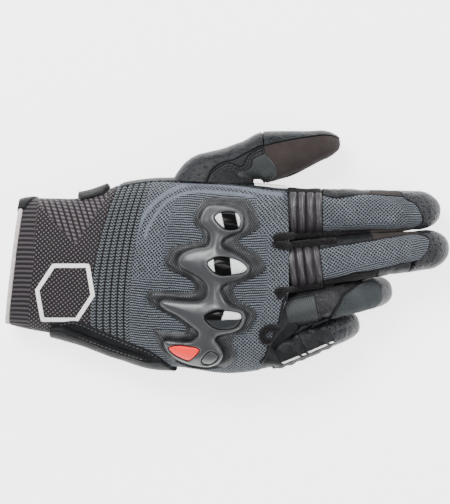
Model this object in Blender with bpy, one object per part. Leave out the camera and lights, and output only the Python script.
"""A right-hand, short-cuff motorcycle glove with a moulded knuckle guard, made of its separate panels.

The glove lies palm down. +X runs along the fingers, +Y is the thumb side and +Z is the back of the hand.
Sizes below are in millimetres; meshes are written in metres. Every soft panel is a slice of a tube: the
hand, the cuff, each finger and the thumb is one tube surface, and a panel is a range along it, a range
round it and a range of depth below its outer face.
"""

import math

import bmesh
import bpy
import numpy as np
from mathutils import Vector
from mathutils.geometry import delaunay_2d_cdt

MM = 0.001
GAP = 0.4          # clearance between neighbouring pieces
WALL = 1.7         # leather, knit and fourchette thickness
ORIGIN = (0.4, 0.5, 0.0)  # the layout's point that becomes the part's origin: bounding box centre, lowest z

# ---------------------------------------------------------------- driving dimensions

# Hand and cuff outline: x, thumb-side edge, outer edge, top, bottom.
HAND_OUTLINE = (
    (-122.0, 26.0, -39.5, 28.0, 5.0),
    (-111.0, 29.5, -42.5, 29.0, 5.2),
    (-96.0, 29.8, -45.0, 30.5, 5.6),
    (-79.0, 30.2, -50.0, 32.0, 5.4),
    (-68.0, 33.4, -54.0, 33.5, 4.6),
    (-58.0, 37.6, -57.5, 35.0, 3.6),
    (-43.0, 40.4, -62.0, 37.5, 3.0),
    (-25.0, 40.6, -63.6, 40.5, 3.2),
    (2.0, 39.0, -66.8, 45.0, 6.0),
    (20.0, 37.0, -64.8, 44.5, 9.5),
    (36.0, 35.6, -62.0, 41.5, 13.0),
)
SIDE_LEVEL = 0.42      # how high up the section its widest line lies
TOP_SQUARENESS = 2.5
PALM_SQUARENESS = 3.2

# Lines across the hand, each x = a + b y + c y^2: the cuff's mouth and the edges of the ribbed wrist panel.
MOUTH_LINE = (-117.6, 0.120, 0.0)
RIB_START_LINE = (-70.9, 0.211, 0.0027)
RIB_END_LINE = (-50.4, 0.154, 0.0022)
WEB_X = 34.3           # where the finger stalls start, on the thumb side
WEB_SLANT_FROM = -20.0  # below this y the web line slants back
WEB_SLANT = 0.37

# Finger stalls: knuckle hinge (x, y), heading in degrees, then path, reach, height, half width, half height.
FINGERS = {
    "index": {
        "hinge": (43.0, 22.3),
        "heading": 0.7,
        "rows": (
            (-9.5, -9.5, 27.5, 13.4, 12.5),
            (9.5, 9.5, 28.0, 12.4, 12.0),
            (33.0, 33.0, 27.0, 11.4, 11.0),
            (52.0, 51.6, 23.0, 11.0, 10.3),
            (66.0, 64.5, 17.5, 10.5, 9.3),
            (76.5, 74.6, 12.6, 9.8, 8.2),
        ),
        "dome": 63.0,
        "mid": 33.0,
        "tip_length": 21.0,
    },
    "middle": {
        "hinge": (42.4, -7.3),
        "heading": 7.2,
        "rows": (
            (-9.5, -9.5, 28.5, 13.2, 12.7),
            (9.5, 9.5, 29.0, 12.3, 12.2),
            (36.0, 36.0, 28.0, 11.4, 11.2),
            (55.0, 54.6, 23.5, 11.1, 10.5),
            (72.0, 70.3, 17.0, 10.7, 9.5),
            (83.5, 80.5, 11.6, 9.8, 8.2),
        ),
        "dome": 69.0,
        "mid": 36.0,
        "tip_length": 22.0,
    },
    "ring": {
        "hinge": (38.6, -30.9),
        "heading": 9.5,
        "rows": (
            (-9.5, -9.5, 26.5, 9.8, 11.6),
            (9.5, 9.5, 27.0, 9.3, 11.2),
            (28.0, 27.8, 25.0, 8.8, 10.6),
            (40.0, 38.5, 19.0, 8.8, 10.0),
            (50.0, 45.0, 11.4, 8.6, 9.3),
            (60.6, 50.0, 2.0, 8.0, 8.4),
        ),
        "dome": 48.0,
        "mid": 25.0,
        "tip_length": 19.0,
    },
    "pinky": {
        "hinge": (31.4, -53.9),
        "heading": 18.4,
        "rows": (
            (-9.0, -9.0, 24.0, 9.6, 10.8),
            (8.0, 8.0, 24.5, 9.0, 10.4),
            (22.0, 21.9, 22.3, 8.2, 9.6),
            (32.0, 30.5, 17.5, 8.2, 9.0),
            (41.0, 36.5, 11.0, 7.9, 8.3),
            (50.6, 41.0, 2.4, 7.4, 7.4),
        ),
        "dome": 40.0,
        "mid": 20.0,
        "tip_length": 16.0,
    },
}
FINGER_SQUARENESS = 2.35
KNUCKLE_PATH = -8.0    # where the knuckle hinge lies along a stall
KNUCKLE_RISE = 3.0     # its height above the stall's palm side
PALM_CREASE = 2.2      # open crease under the knuckle hinge, so that the palm side folds
MID_RISE = 3.0         # middle-joint hinge above the stall's palm side
MID_CREASE = 3.4       # open crease under it

# Thumb stall: station, x, y, z, heading of the section's normal, half width, half height.
THUMB_STATIONS = (
    (0.0, -8.0, 37.6, 20.2, 87.0, 22.4, 11.4),
    (1.0, -2.5, 46.0, 18.6, 72.4, 18.7, 11.8),
    (2.0, 7.2, 48.8, 17.6, 51.0, 13.2, 12.4),
    (3.0, 14.0, 50.6, 16.6, 27.0, 12.2, 12.8),
    (4.0, 20.8, 52.2, 16.0, 4.0, 14.2, 12.8),
    (5.0, 31.0, 54.0, 15.2, 4.0, 13.1, 12.4),
    (6.0, 43.2, 56.5, 14.4, 4.0, 10.8, 11.6),
    (7.0, 52.5, 59.2, 13.8, 4.0, 8.3, 10.4),
    (8.0, 63.3, 60.6, 13.2, 4.0, 6.6, 8.6),
)
THUMB_DOME = 7.0
THUMB_JOINT = 4.0      # station of the thumb's tip joint, at the open notch

# Knuckle guard outlines on the back of the hand, as points of a closed smooth curve.
SHELL_OUTLINE = (
    (-14.6, 16.5), (-12.9, 22.0), (-9.6, 25.3), (-2.5, 25.5), (5.2, 23.8), (9.1, 20.4), (9.6, 15.4),
    (7.4, 11.0), (1.9, 8.8), (-1.9, 6.1), (-1.9, 2.2), (3.6, -0.6), (9.1, -3.9), (13.0, -8.3),
    (11.8, -12.1), (6.3, -15.4), (-0.3, -17.6), (-3.0, -20.4), (-1.4, -25.3), (1.9, -29.0),
    (8.2, -31.2), (10.7, -35.2), (8.6, -40.9), (3.0, -44.0), (-4.1, -45.7), (-5.8, -47.9),
    (-3.0, -52.3), (-1.6, -56.4), (-4.0, -60.6), (-8.6, -62.9), (-14.6, -62.8), (-23.0, -60.9),
    (-30.6, -56.6), (-34.4, -50.6), (-32.2, -48.1), (-21.2, -49.0), (-16.8, -46.8), (-15.7, -44.0),
    (-20.1, -40.2), (-26.7, -35.2), (-33.8, -31.4), (-36.6, -28.1), (-33.8, -25.9), (-22.8, -26.7),
    (-14.6, -26.7), (-11.3, -24.2), (-10.7, -19.8), (-12.9, -16.0), (-18.4, -12.1), (-24.5, -8.8),
    (-26.7, -5.0), (-23.9, -0.6), (-17.9, 1.9), (-10.7, 3.3), (-9.1, 6.6), (-9.8, 10.5), (-12.4, 13.2),
)
FILM_OUTLINE = (
    (-10.2, 29.4), (0.8, 29.7), (11.8, 28.6), (15.1, 25.3), (16.2, 21.4), (17.9, 16.5), (16.8, 12.7),
    (11.8, 9.4), (6.9, 6.6), (10.2, 3.3), (16.2, 0.0), (19.0, -3.9), (21.2, -7.7), (19.5, -11.0),
    (15.1, -13.8), (9.1, -16.0), (4.7, -18.2), (3.6, -20.9), (5.2, -24.8), (10.2, -28.1),
    (15.1, -30.8), (16.2, -34.7), (14.6, -39.6), (10.7, -43.5), (4.1, -45.1), (3.0, -48.4),
    (4.7, -53.4), (5.0, -58.3), (0.8, -62.4), (-6.3, -64.2), (-17.3, -63.9), (-26.7, -61.0),
    (-34.4, -56.0), (-38.2, -48.4), (-39.9, -42.4), (-34.9, -42.9), (-28.3, -43.5), (-22.3, -42.9),
    (-23.4, -39.6), (-31.1, -34.7), (-39.3, -30.3), (-44.4, -25.9), (-41.5, -20.9), (-33.8, -20.6),
    (-22.8, -21.5), (-17.9, -20.4), (-18.4, -16.5), (-23.4, -13.2), (-30.0, -10.5), (-33.8, -7.2),
    (-33.3, -2.8), (-30.0, 2.2), (-25.6, 4.1), (-17.3, 5.5), (-13.5, 7.2), (-14.0, 11.0),
    (-17.3, 14.9), (-18.4, 19.3), (-16.8, 23.7), (-13.5, 27.0),
)
INSERTS = {
    "knuckle_cap_index": (
        (-6.3, 18.4), (-4.1, 20.9), (0.3, 21.8), (5.2, 21.2), (7.2, 18.7), (7.4, 15.4), (5.8, 12.9),
        (1.4, 12.3), (-2.5, 13.8),
    ),
    "knuckle_cap_middle": (
        (-10.2, -6.6), (-8.0, -4.4), (-3.6, -3.0), (3.0, -3.6), (8.0, -5.6), (11.0, -8.8), (9.0, -11.0),
        (3.6, -12.1), (-2.5, -12.5), (-6.9, -10.7),
    ),
    "knuckle_cap_ring": (
        (-11.8, -35.8), (-9.1, -33.3), (-4.7, -31.9), (1.9, -32.2), (6.9, -33.3), (8.0, -35.4),
        (6.5, -39.1), (3.4, -41.3), (-2.5, -42.1), (-8.0, -40.2),
    ),
    "guard_accent_insert": (
        (-31.4, -52.6), (-29.2, -51.6), (-25.6, -51.2), (-20.1, -51.8), (-15.9, -52.6), (-15.1, -54.2),
        (-17.6, -57.0), (-20.9, -59.2), (-25.8, -57.4), (-29.4, -55.2),
    ),
    "guard_tab_insert": (
        (-13.6, -59.6), (-12.6, -57.4), (-10.4, -55.1), (-7.8, -54.5), (-4.8, -56.2), (-5.4, -58.6),
        (-8.4, -61.0), (-11.6, -61.2),
    ),
}
FILM_RISE = (0.9, 1.5)     # base film's lower and upper face, above the back panel
SHELL_FOOT = 2.4           # guard shell's lower face
SHELL_EDGE = 3.3           # its upper face at the outline
SHELL_CROWN = 3.0          # how much higher it is in the middle
CROWN_REACH = 5.0          # distance from the outline to full height

# Palm side.
SLIDER_OUTLINE = ((-48.0, -46.0), (-32.0, -49.0), (-17.0, -45.0), (-13.0, -34.0), (-22.0, -25.0),
                  (-38.0, -24.0), (-50.0, -32.0))
THENAR_OUTLINE = ((-44.0, 4.0), (-30.0, 1.0), (-16.0, 6.0), (-12.0, 18.0), (-20.0, 28.0),
                  (-36.0, 30.0), (-46.0, 20.0))
GRIP_OUTLINE = ((-2.0, -40.0), (12.0, -42.0), (22.0, -34.0), (25.0, -6.0), (23.0, 20.0), (10.0, 25.0),
                (-1.0, 18.0), (-4.0, -10.0))
PAD_FACE = 0.0             # both heel pads end on the surface that the glove lies on

STRAP_ALONG = (0.60, 0.95)  # closure strap, as places along the cuff's tube

# ---------------------------------------------------------------- colours: r, g, b, roughness, metallic

COLOURS = {
    "knit": (0.10, 0.12, 0.14, 0.85, 0.0),
    "cuff_knit": (0.12, 0.10, 0.11, 0.9, 0.0),
    "leather": (0.035, 0.038, 0.042, 0.5, 0.0),
    "suede": (0.07, 0.055, 0.05, 0.95, 0.0),
    "stretch": (0.03, 0.026, 0.028, 0.9, 0.0),
    "flex_rib": (0.06, 0.055, 0.058, 0.4, 0.0),
    "guard": (0.07, 0.072, 0.075, 0.35, 0.0),
    "film": (0.04, 0.045, 0.047, 0.45, 0.0),
    "mirror_cap": (0.75, 0.76, 0.78, 0.05, 1.0),
    "accent": (0.85, 0.08, 0.07, 0.5, 0.0),
    "pale_trim": (0.72, 0.69, 0.68, 0.9, 0.0),
    "label": (0.8, 0.8, 0.8, 0.7, 0.0),
    "hook_loop": (0.03, 0.03, 0.03, 0.95, 0.0),
    "slider": (0.05, 0.05, 0.055, 0.3, 0.0),
    "foam": (0.2, 0.2, 0.2, 0.9, 0.0),
}


def material(name, colour):
    """A piece's own Principled material, in one of the colours above."""
    made = bpy.data.materials.new(name + "_material")
    made.use_nodes = True
    shader = made.node_tree.nodes["Principled BSDF"]
    *base, roughness, metallic = COLOURS[colour]
    shader.inputs["Base Color"].default_value = (*base, 1.0)
    shader.inputs["Roughness"].default_value = roughness
    shader.inputs["Metallic"].default_value = metallic
    return made


# ---------------------------------------------------------------- smooth curves through stations

class Track:
    """Smooth values between stations: a table's first column is the place, the others are its values."""

    def __init__(self, rows):
        table = np.array(rows, float)
        self.at, self.values = table[:, 0], table[:, 1:]
        step = np.diff(self.at)[:, None]
        slope = np.diff(self.values, axis=0) / step
        self.slope = np.empty_like(self.values)
        self.slope[0], self.slope[-1] = slope[0], slope[-1]
        self.slope[1:-1] = (slope[:-1] * step[1:] + slope[1:] * step[:-1]) / (step[1:] + step[:-1])

    def __call__(self, place):
        place = np.clip(np.asarray(place, float), self.at[0], self.at[-1])
        i = np.clip(np.searchsorted(self.at, place, side="right") - 1, 0, len(self.at) - 2)
        width = (self.at[i + 1] - self.at[i])[..., None]
        t = (place - self.at[i])[..., None] / width
        ahead = t * t * (3 - 2 * t)
        return (
            self.values[i] * (1 - ahead)
            + self.values[i + 1] * ahead
            + self.slope[i] * width * t * (1 - t) ** 2
            - self.slope[i + 1] * width * t * t * (1 - t)
        )


def closed_curve(points, per_span):
    """A closed smooth curve through the points, as 2-D samples."""
    p = np.array(points, float)
    before, after, further = np.roll(p, 1, 0), np.roll(p, -1, 0), np.roll(p, -2, 0)
    samples = []
    for k in range(per_span):
        t = k / per_span
        samples.append(
            0.5 * (2 * p + (after - before) * t + (2 * before - 5 * p + 4 * after - further) * t**2
                   + (3 * p - before - 3 * after + further) * t**3)
        )
    return np.stack(samples, 1).reshape(-1, 2)


def offset_loop(loop, distance):
    """The loop moved outwards by a distance."""
    tangent = np.roll(loop, -1, 0) - np.roll(loop, 1, 0)
    tangent /= np.linalg.norm(tangent, axis=1)[:, None]
    normal = np.stack([tangent[:, 1], -tangent[:, 0]], 1)
    x, y = loop[:, 0], loop[:, 1]
    area = (x * np.roll(y, -1) - np.roll(x, -1) * y).sum()
    return loop + normal * distance * (1 if area > 0 else -1)


def inside(points, loop):
    """Whether each 2-D point lies inside the loop."""
    x, y = points[:, 0:1], points[:, 1:2]
    ax, ay = loop[:, 0], loop[:, 1]
    bx, by = np.roll(ax, -1), np.roll(ay, -1)
    crosses = (ay > y) != (by > y)
    at = ax + (y - ay) / np.where(by == ay, 1e-9, by - ay) * (bx - ax)
    return (crosses & (x < at)).sum(1) % 2 == 1


def distance_to(points, loop):
    """Each 2-D point's distance to the loop."""
    a, b = loop, np.roll(loop, -1, 0)
    span = b - a
    t = ((points[:, None] - a) * span).sum(2) / (span * span).sum(1)
    nearest = a + np.clip(t, 0, 1)[..., None] * span
    return np.linalg.norm(points[:, None] - nearest, axis=2).min(1)


# ---------------------------------------------------------------- surfaces

def superellipse(phi, top, bottom):
    """Unit section point at angle phi in degrees: 0 is the +side, 90 the top."""
    c, s = np.cos(np.radians(phi)), np.sin(np.radians(phi))
    power = 2.0 / np.where(s >= 0, top, bottom)
    return np.sign(c) * np.abs(c) ** power, np.sign(s) * np.abs(s) ** power


hand_track = Track(HAND_OUTLINE)


def hand_section(x):
    """Middle y, half width, side-line z, height above it and depth below it."""
    values = hand_track(x)
    high, low, top, bottom = np.moveaxis(values, -1, 0)
    level = bottom + SIDE_LEVEL * (top - bottom)
    return (high + low) / 2, (high - low) / 2, level, top - level, level - bottom


def quadratic_line(line, y):
    return line[0] + line[1] * y + line[2] * y * y


def web_line(y):
    """x of the seam where the finger stalls start."""
    below = np.maximum(0.0, WEB_SLANT_FROM - y)
    return WEB_X - WEB_SLANT * below**2 / (below + 4.0)


def hand_line(s, y):
    """x of line s at y: 0 the cuff's mouth, 1 and 2 the ribbed panel's edges, 3 the web."""
    lines = [quadratic_line(line, y) for line in (MOUTH_LINE, RIB_START_LINE, RIB_END_LINE)]
    lines.append(web_line(y))
    k = np.clip(np.floor(s).astype(int), 0, 2)
    start = np.choose(k, lines[:3])
    end = np.choose(k, lines[1:])
    return start + (s - k) * (end - start)


def hand_surface(s, phi, depth):
    """Point of the hand's outer face, or of a face that much deeper."""
    across, up = superellipse(phi, TOP_SQUARENESS, PALM_SQUARENESS)
    y = np.zeros(np.broadcast(s, phi).shape)
    for _ in range(6):
        x = hand_line(s + 0 * y, y)
        middle, half, level, height, drop = hand_section(x)
        y = middle + (half - depth) * across
    z = level + np.where(up >= 0, height - depth, drop - depth) * up
    return np.stack([x, y, z], -1)


def back_height(x, y):
    """Height of the hand's outer face on the back, over (x, y); it levels out before the hand's very edge."""
    middle, half, level, height, _ = hand_section(x)
    across = np.clip(np.abs(y - middle) / half, 0, 0.93)
    return level + height * (1 - across**TOP_SQUARENESS) ** (1 / TOP_SQUARENESS)


def palm_height(x, y):
    """Height of the hand's outer face on the palm side, over (x, y)."""
    middle, half, level, _, drop = hand_section(x)
    across = np.clip(np.abs(y - middle) / half, 0, 0.999)
    return level - drop * (1 - across**PALM_SQUARENESS) ** (1 / PALM_SQUARENESS)


def domed(path, start, end):
    """Share of the full radius left at a place on a rounded tip."""
    t = np.clip((path - start) / (end - start), 0, 1)
    return (1 - t**2.2) ** (1 / 2.2)


class Finger:
    """A finger stall's surface: path is the length along it from the knuckle hinge."""

    def __init__(self, name):
        data = FINGERS[name]
        self.track = Track(data["rows"])
        self.x, self.y = data["hinge"]
        heading = math.radians(data["heading"])
        self.ahead = np.array([math.cos(heading), math.sin(heading), 0.0])
        self.side = np.array([-math.sin(heading), math.cos(heading), 0.0])
        self.dome, self.mid, self.tip_length = data["dome"], data["mid"], data["tip_length"]
        self.end = data["rows"][-1][0]

    def frame(self, path):
        """Centre, upward direction, half width and half height."""
        reach, z, wide, tall = np.moveaxis(self.track(path), -1, 0)
        later, sooner = self.track(path + 0.5), self.track(path - 0.5)
        run, rise = later[..., 0] - sooner[..., 0], later[..., 1] - sooner[..., 1]
        length = np.hypot(run, rise)
        run, rise = run / length, rise / length
        centre = np.stack([self.x + reach * self.ahead[0], self.y + reach * self.ahead[1], z], -1)
        up = run[..., None] * np.array([0.0, 0.0, 1.0]) - rise[..., None] * self.ahead
        return centre, up, wide, tall

    def surface(self, path, phi, depth):
        path, phi = np.broadcast_arrays(np.asarray(path, float), np.asarray(phi, float))
        centre, up, wide, tall = self.frame(path)
        left = domed(path, self.dome, self.end - depth)
        across, above = superellipse(phi, FINGER_SQUARENESS, FINGER_SQUARENESS)
        return (
            centre
            + self.side * ((wide - depth) * left * across)[..., None]
            + up * ((tall - depth) * left * above)[..., None]
        )


thumb_track = Track(THUMB_STATIONS)


def thumb_surface(station, phi, depth):
    """The thumb stall's surface, by its numbered stations."""
    station, phi = np.broadcast_arrays(np.asarray(station, float), np.asarray(phi, float))
    x, y, z, heading, wide, tall = np.moveaxis(thumb_track(station), -1, 0)
    end = THUMB_STATIONS[-1][0] - depth / 11.0  # a station there is 11 mm long
    left = domed(station, THUMB_DOME, end)
    across, above = superellipse(phi, FINGER_SQUARENESS, FINGER_SQUARENESS)
    heading = np.radians(heading)
    out = (wide - depth) * left * across
    return np.stack(
        [x - np.sin(heading) * out, y + np.cos(heading) * out, z + (tall - depth) * left * above], -1
    )


# ---------------------------------------------------------------- building solids

def add_solid(name, points, faces, colour):
    """One closed solid from points in millimetres."""
    mesh = bpy.data.meshes.new(name)
    mesh.from_pydata([tuple(p) for p in (np.asarray(points, float) - ORIGIN) * MM], [], faces)
    work = bmesh.new()
    work.from_mesh(mesh)
    bmesh.ops.recalc_face_normals(work, faces=work.faces)
    work.to_mesh(mesh)
    work.free()
    mesh.materials.append(material(name, colour))
    mesh.shade_smooth()
    mesh.set_sharp_from_angle(angle=math.radians(40))
    made = bpy.data.objects.new(name, mesh)
    bpy.context.scene.collection.objects.link(made)
    return made


def panel(name, surface, along, around, colour, depth=0.0, thick=WALL):
    """A curved panel: along and around are (start, end, count); depth may be a function of the place."""
    s = np.linspace(along[0], along[1], along[2] + 1)[:, None]
    phi = np.linspace(around[0], around[1], around[2] + 1)[None, :]
    rows, columns = s.shape[0], phi.shape[1]
    inner_depth = thick if callable(depth) else depth + thick
    outer_depth = depth(s + 0 * phi) if callable(depth) else depth
    outer = surface(s, phi, outer_depth).reshape(-1, 3)
    points = np.concatenate([outer, surface(s, phi, inner_depth).reshape(-1, 3)])
    inner = rows * columns

    def at(i, j):
        return i * columns + j

    faces = []
    for i in range(rows - 1):
        for j in range(columns - 1):
            quad = (at(i, j), at(i + 1, j), at(i + 1, j + 1), at(i, j + 1))
            faces += [quad, tuple(inner + k for k in reversed(quad))]
    rim = [at(i, 0) for i in range(rows)] + [at(rows - 1, j) for j in range(1, columns)]
    rim += [at(i, columns - 1) for i in range(rows - 2, -1, -1)]
    rim += [at(0, j) for j in range(columns - 2, 0, -1)]
    for a, b in zip(rim, rim[1:] + rim[:1]):
        faces.append((a, inner + a, inner + b, b))
    return add_solid(name, points, faces, colour)


def band(name, surface, along, colour, count=28, depth=0.0, thick=WALL):
    """A closed band all round a tube."""
    phi = np.arange(count) * 360.0 / count
    start, end, steps = along
    rings = [surface(s, phi, depth) for s in np.linspace(start, end, steps + 1)]
    rings += [surface(s, phi, depth + thick) for s in np.linspace(end, start, steps + 1)]
    faces = []
    for i in range(len(rings)):
        a, b = i * count, (i + 1) % len(rings) * count
        for j in range(count):
            k = (j + 1) % count
            faces.append((a + j, b + j, b + k, a + k))
    return add_solid(name, np.concatenate(rings), faces, colour)


def tip_cap(name, surface, start, end, wall, colour, count=16, rings=5):
    """The rounded end of a stall, open at its start; wall is its thickness measured along the tube."""
    phi = np.arange(count) * 360.0 / count
    share = np.sin(np.linspace(0, math.pi / 2, rings + 1))[:-1]
    layers = [surface(start + (end - start) * t, phi, 0.0) for t in share]
    layers += [surface(start + (end - wall - start) * t, phi, WALL) for t in share]
    poles = [surface(end, 0.0, 0.0)[None], surface(end - wall, 0.0, WALL)[None]]
    faces = []
    for shell in (0, rings):
        pole = 2 * rings * count + (shell > 0)
        for j in range(count):
            k = (j + 1) % count
            for i in range(shell, shell + rings - 1):
                faces.append((i * count + j, (i + 1) * count + j, (i + 1) * count + k, i * count + k))
            last = (shell + rings - 1) * count
            faces.append((last + j, pole, last + k))
    for j in range(count):
        k = (j + 1) % count
        faces.append((j, k, rings * count + k, rings * count + j))
    return add_solid(name, np.concatenate(layers + poles), faces, colour)


def layer(name, loop, floor, roof, spacing, colour, holes=()):
    """A plate over or under the hand: an outline filled with triangles between two height functions."""
    low, high = loop.min(0), loop.max(0)
    xs, ys = np.arange(low[0], high[0], spacing), np.arange(low[1], high[1], spacing)
    grid = np.stack(np.meshgrid(xs, ys), -1)
    grid[1::2, :, 0] += spacing / 2
    grid = grid.reshape(-1, 2)
    keep = inside(grid, loop)
    loops = [loop, *holes]
    for ring in loops:
        keep &= distance_to(grid, ring) > spacing * 0.45
    edges, start = [], 0
    for ring in loops:
        edges += [(start + i, start + (i + 1) % len(ring)) for i in range(len(ring))]
        start += len(ring)
    flat = [Vector(p) for p in np.concatenate([*loops, grid[keep]])]
    flat, _, triangles, *_ = delaunay_2d_cdt(flat, edges, [], 1, 1e-6)
    flat = np.array([tuple(p) for p in flat])
    triangles = np.array([list(t) for t in triangles])
    middles = flat[triangles].mean(1)
    solid = np.ones(len(triangles), bool)
    for hole in holes:
        solid &= ~inside(middles, hole)
    triangles = [tuple(int(v) for v in t) for t in triangles[solid]]
    sides = {(a, b) for t in triangles for a, b in zip(t, t[1:] + t[:1])}
    rim = [(a, b) for a, b in sorted(sides) if (b, a) not in sides]
    count = len(flat)
    faces = triangles + [tuple(count + v for v in reversed(t)) for t in triangles]
    faces += [(b, a, count + a, count + b) for a, b in rim]
    used = sorted({v for face in faces for v in face})
    new = {v: i for i, v in enumerate(used)}
    x, y = flat[:, 0], flat[:, 1]
    points = np.concatenate([np.column_stack([x, y, roof(x, y)]), np.column_stack([x, y, floor(x, y)])])
    return add_solid(name, points[used], [tuple(new[v] for v in face) for face in faces], colour)


# ---------------------------------------------------------------- the glove's parts

def ribs(start, end, count, groove):
    """Depth of a ribbed panel's outer face: rounded bars with a groove at each seam between them."""
    def depth(s):
        share = (s - start) / (end - start) * count
        return groove * np.abs(np.cos(np.pi * share)) ** 2
    return depth


def make_cuff():
    panel("cuff_knit_back", hand_surface, (0.07, 0.965, 5), (1.5, 178.5, 12), "cuff_knit")
    panel("cuff_knit_palm", hand_surface, (0.07, 0.965, 5), (181.5, 358.5, 12), "cuff_knit")
    band("cuff_mouth_binding", hand_surface, (0.0, 0.06, 1), "pale_trim", thick=1.5)
    panel("cuff_corner_tab", hand_surface, (0.0, 0.2, 2), (-10.0, 16.0, 3), "leather", depth=-1.6, thick=1.1)
    panel("cuff_loop_patch", hand_surface, (0.64, 0.92, 2), (214.0, 298.0, 7), "hook_loop", -1.0, 0.6)


def make_strap():
    start, end = STRAP_ALONG
    panel("closure_strap", hand_surface, (start, end, 2), (178.0, 322.0, 12), "leather", -4.0, 1.6)
    panel("strap_hook_patch", hand_surface, (start + 0.03, end - 0.03, 2), (226.0, 310.0, 7), "hook_loop", -2.0, 0.7)
    panel("strap_pull_tab", hand_surface, (start + 0.02, end - 0.02, 2), (323.0, 374.0, 8), "slider", -3.9, 1.9)


def make_wrist():
    along = (1.02, 1.98, 24)
    panel("wrist_stretch_panel", hand_surface, along, (1.5, 178.5, 12), "stretch", ribs(1.02, 1.98, 6, 0.8), 2.0)
    panel("wrist_palm_elastic", hand_surface, (1.02, 1.98, 3), (181.5, 358.5, 12), "stretch")


def make_hand():
    end = 2.985
    panel("back_knit_panel", hand_surface, (2.02, end, 10), (24.0, 156.0, 12), "knit")
    panel("outer_side_leather", hand_surface, (2.02, end, 6), (157.0, 203.0, 5), "leather")
    panel("palm_leather_panel", hand_surface, (2.02, end, 8), (204.0, 322.0, 9), "leather")
    panel("thumb_side_leather", hand_surface, (2.02, 2.13, 2), (-37.0, 23.0, 6), "leather")
    panel("crotch_leather", hand_surface, (2.745, end, 3), (-37.0, 23.0, 6), "leather")
    panel("crotch_label", hand_surface, (2.76, 2.98, 2), (8.0, 15.0, 1), "label", -0.9, 0.5)
    slider = closed_curve(SLIDER_OUTLINE, 4)
    thenar = closed_curve(THENAR_OUTLINE, 4)
    grip = closed_curve(GRIP_OUTLINE, 4)

    def ground(x, y):
        return 0 * x + PAD_FACE

    def under(rise):
        return lambda x, y: palm_height(x, y) - rise

    layer("palm_heel_slider", slider, ground, under(0.5), 7.0, "slider")
    layer("thumb_heel_pad", thenar, ground, under(0.5), 7.0, "foam")
    layer("palm_grip_overlay", grip, under(1.7), under(0.5), 8.0, "suede")


def make_guard():
    shell = closed_curve(SHELL_OUTLINE, 2)
    film = closed_curve(FILM_OUTLINE, 1)

    def raised(rise):
        return lambda x, y: back_height(x, y) + rise

    def crown(extra):
        def roof(x, y):
            edge = distance_to(np.column_stack([x, y]), shell)
            share = np.clip(edge / CROWN_REACH, 0, 1)
            return back_height(x, y) + SHELL_EDGE + extra + SHELL_CROWN * np.sqrt(share * (2 - share))
        return roof

    layer("guard_base_film", film, raised(FILM_RISE[0]), raised(FILM_RISE[1]), 5.0, "film")
    loops = {name: closed_curve(outline, 2) for name, outline in INSERTS.items()}
    holes = [offset_loop(loop, 0.35) for loop in loops.values()]
    layer("knuckle_guard_shell", shell, raised(SHELL_FOOT), crown(0.0), 3.2, "guard", holes)
    for name, loop in loops.items():
        colour = "mirror_cap" if "cap" in name else "accent" if "accent" in name else "slider"

        def domed_roof(x, y, loop=loop):
            edge = np.clip(distance_to(np.column_stack([x, y]), loop) / 3.0, 0, 1)
            return crown(-0.4)(x, y) + 1.2 * np.sqrt(edge * (2 - edge))

        layer(name, loop, raised(SHELL_FOOT), domed_roof, 2.6, colour)


def make_long_finger(name):
    """Index or middle finger: flex bars over the knuckle, knit back, leather palm and tip."""
    finger = Finger(name)
    tip = finger.end - finger.tip_length
    root, mid = KNUCKLE_PATH + PALM_CREASE / 2, finger.mid
    surface = finger.surface
    bars = (KNUCKLE_PATH + 0.9, 9.4, 16)
    panel(name + "_flex_bars", surface, bars, (33.0, 147.0, 6), "flex_rib", ribs(bars[0], bars[1], 4, 1.0), 2.4)
    panel(name + "_back_knit", surface, (9.8, tip - GAP, 9), (33.0, 147.0, 6), "knit")
    panel(name + "_outer_side", surface, (root, mid - MID_CREASE / 2, 5), (-31.0, 31.5, 4), "leather")
    panel(name + "_inner_side", surface, (root, mid - MID_CREASE / 2, 5), (148.5, 211.0, 4), "suede")
    panel(name + "_palm", surface, (root, mid - MID_CREASE / 2, 5), (212.5, 327.5, 6), "leather")
    panel(name + "_distal_wrap", surface, (mid + MID_CREASE / 2, tip - GAP, 5), (148.5, 391.5, 12), "suede")
    tip_cap(name + "_tip_cap", surface, tip, finger.end, WALL, "leather")


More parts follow.
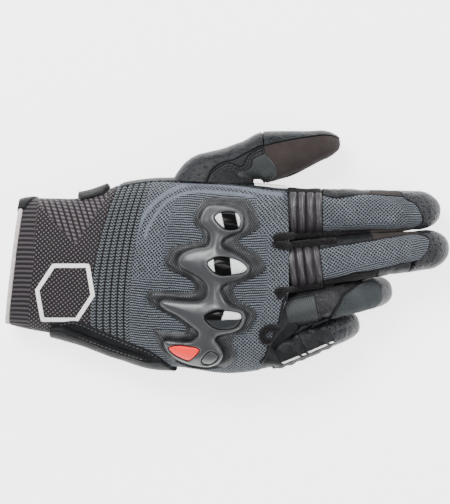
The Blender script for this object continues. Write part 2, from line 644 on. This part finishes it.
def make_outer_finger(name):
    """Ring or pinky: leather back, wrapped palm side, and a tip that is bent down at the middle joint."""
    finger = Finger(name)
    tip = finger.end - finger.tip_length
    root, mid = KNUCKLE_PATH + PALM_CREASE / 2, finger.mid
    surface = finger.surface
    panel(name + "_back_leather", surface, (root, mid - 0.3, 6), (33.0, 147.0, 6), "leather")
    panel(name + "_palm_wrap", surface, (root, mid - MID_CREASE / 2, 5), (148.5, 391.5, 12), "leather")
    band(name + "_tip_band", surface, (mid + MID_CREASE / 2, tip - GAP, 3), "suede", 20)
    tip_cap(name + "_tip_cap", surface, tip, finger.end, WALL, "leather", 20)


def make_ring_patches():
    finger = Finger("ring")
    root, mid = KNUCKLE_PATH + PALM_CREASE / 2, finger.mid
    panel("ring_ridged_patch", finger.surface, (root + 0.8, 6.0, 4), (60.0, 128.0, 4), "flex_rib", -1.2, 0.8)
    panel("ring_knuckle_pad", finger.surface, (10.0, mid - 1.5, 3), (50.0, 132.0, 4), "suede", -1.3, 0.9)


def make_thumb():
    base = (0.0, THUMB_JOINT - 0.1, 8)
    panel("thumb_outer_leather", thumb_surface, base, (-62.0, 58.0, 9), "leather")
    panel("thumb_ridged_panel", thumb_surface, base, (59.5, 148.0, 6), "flex_rib")
    panel("thumb_crotch_gusset", thumb_surface, base, (149.5, 214.0, 4), "suede")
    panel("thumb_palm_leather", thumb_surface, base, (215.5, 296.5, 6), "leather")
    tip = (THUMB_JOINT + 0.1, 6.95, 4)
    panel("thumb_tip_strip", thumb_surface, tip, (-14.0, 64.0, 5), "leather")
    panel("thumb_tip_suede", thumb_surface, tip, (66.0, 163.0, 6), "suede")
    panel("thumb_tip_palm", thumb_surface, tip, (165.0, 344.5, 10), "leather")
    tip_cap("thumb_tip_cap", thumb_surface, 7.0, THUMB_STATIONS[-1][0], WALL / 11.0, "leather")


def main():
    for leftover in list(bpy.data.objects):
        bpy.data.objects.remove(leftover, do_unlink=True)
    make_cuff()
    make_strap()
    make_wrist()
    make_hand()
    make_guard()
    for name in ("index", "middle"):
        make_long_finger(name)
    make_outer_finger("ring")
    make_outer_finger("pinky")
    make_ring_patches()
    make_thumb()


main()
